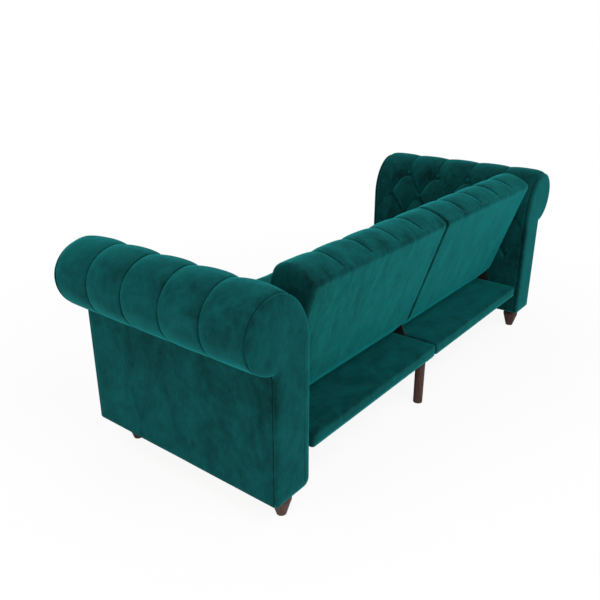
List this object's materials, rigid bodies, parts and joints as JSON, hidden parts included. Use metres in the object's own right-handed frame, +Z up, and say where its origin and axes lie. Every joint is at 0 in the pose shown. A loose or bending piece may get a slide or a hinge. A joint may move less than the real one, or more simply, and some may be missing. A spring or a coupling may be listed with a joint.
{
  "type": "sofa bed",
  "caption": "Tufted velvet roll-arm sofa bed whose split back reclines flat on click-clack hinges, with channelled rolls, buttoned inside faces and turned wooden feet.",
  "frame": {"origin": "on the floor under the middle of the sofa, at the centre of the bounding box's base", "axes": "+Z up; -Y is the front, where a sitter's feet are; +X is the sitter's left, along the sofa's length"},
  "size_m": [2.26, 0.86, 0.803],
  "materials": {
    "velvet": "deep teal velvet over foam",
    "velvet_panel": "deep teal velvet on board",
    "velvet_button": "velvet-covered button",
    "lining": "black dust cover",
    "plywood": "raw plywood and pine",
    "dark_wood": "dark stained satin",
    "painted_steel": "black satin",
    "steel": "zinc plated",
    "bush_plastic": "matte"
  },
  "bodies": {
    "base": {"centre_hinge_plate": "painted_steel", "centre_leg_plates": "painted_steel", "deck_joining_bolts": "steel", "foot_bolts": "steel", "front_centre_leg": "dark_wood", "front_left_foot": "dark_wood", "front_right_foot": "dark_wood", "left_arm_base_board": "plywood", "left_arm_bolts": "steel", "left_arm_brackets": "plywood", "left_arm_buttons": "velvet_button", "left_arm_front_board": "plywood", "left_arm_front_facing": "velvet_panel", "left_arm_outer_panel": "velvet_panel", "left_arm_padding": "velvet", "left_arm_rails": "plywood", "left_arm_rear_board": "plywood", "left_arm_rear_facing": "velvet_panel", "left_deck_cover": "velvet_panel", "left_deck_dust_cover": "lining", "left_deck_frame": "plywood", "left_hinge_plate": "painted_steel", "left_hinge_plate_bolts": "steel", "left_seat_cushion": "velvet", "pivot_pins": "steel", "rear_centre_leg": "dark_wood", "rear_left_foot": "dark_wood", "rear_right_foot": "dark_wood", "right_arm_base_board": "plywood", "right_arm_bolts": "steel", "right_arm_brackets": "plywood", "right_arm_buttons": "velvet_button", "right_arm_front_board": "plywood", "right_arm_front_facing": "velvet_panel", "right_arm_outer_panel": "velvet_panel", "right_arm_padding": "velvet", "right_arm_rails": "plywood", "right_arm_rear_board": "plywood", "right_arm_rear_facing": "velvet_panel", "right_deck_cover": "velvet_panel", "right_deck_dust_cover": "lining", "right_deck_frame": "plywood", "right_hinge_plate": "painted_steel", "right_hinge_plate_bolts": "steel", "right_seat_cushion": "velvet"},
    "back_left": {"left_back_frame": "plywood", "left_back_rear_panel": "velvet_panel", "left_back_padding": "velvet", "left_back_buttons": "velvet_button", "left_hinge_arm": "painted_steel", "left_hinge_arm_bolts": "steel", "left_pivot_bush": "bush_plastic"},
    "back_right": {"right_back_frame": "plywood", "right_back_rear_panel": "velvet_panel", "right_back_padding": "velvet", "right_back_buttons": "velvet_button", "right_hinge_arm": "painted_steel", "right_hinge_arm_bolts": "steel", "right_pivot_bush": "bush_plastic"}
  },
  "joints": [
    {"name": "left_back_recline", "type": "hinge", "parent": "base", "child": "back_left", "pos_m": [0.4185, 0.2168, 0.33], "axis": [-1, 0, 0], "range_deg": [0, 71.5]},
    {"name": "right_back_recline", "type": "hinge", "parent": "base", "child": "back_right", "pos_m": [-0.4185, 0.2168, 0.33], "axis": [-1, 0, 0], "range_deg": [0, 71.5]}
  ]
}
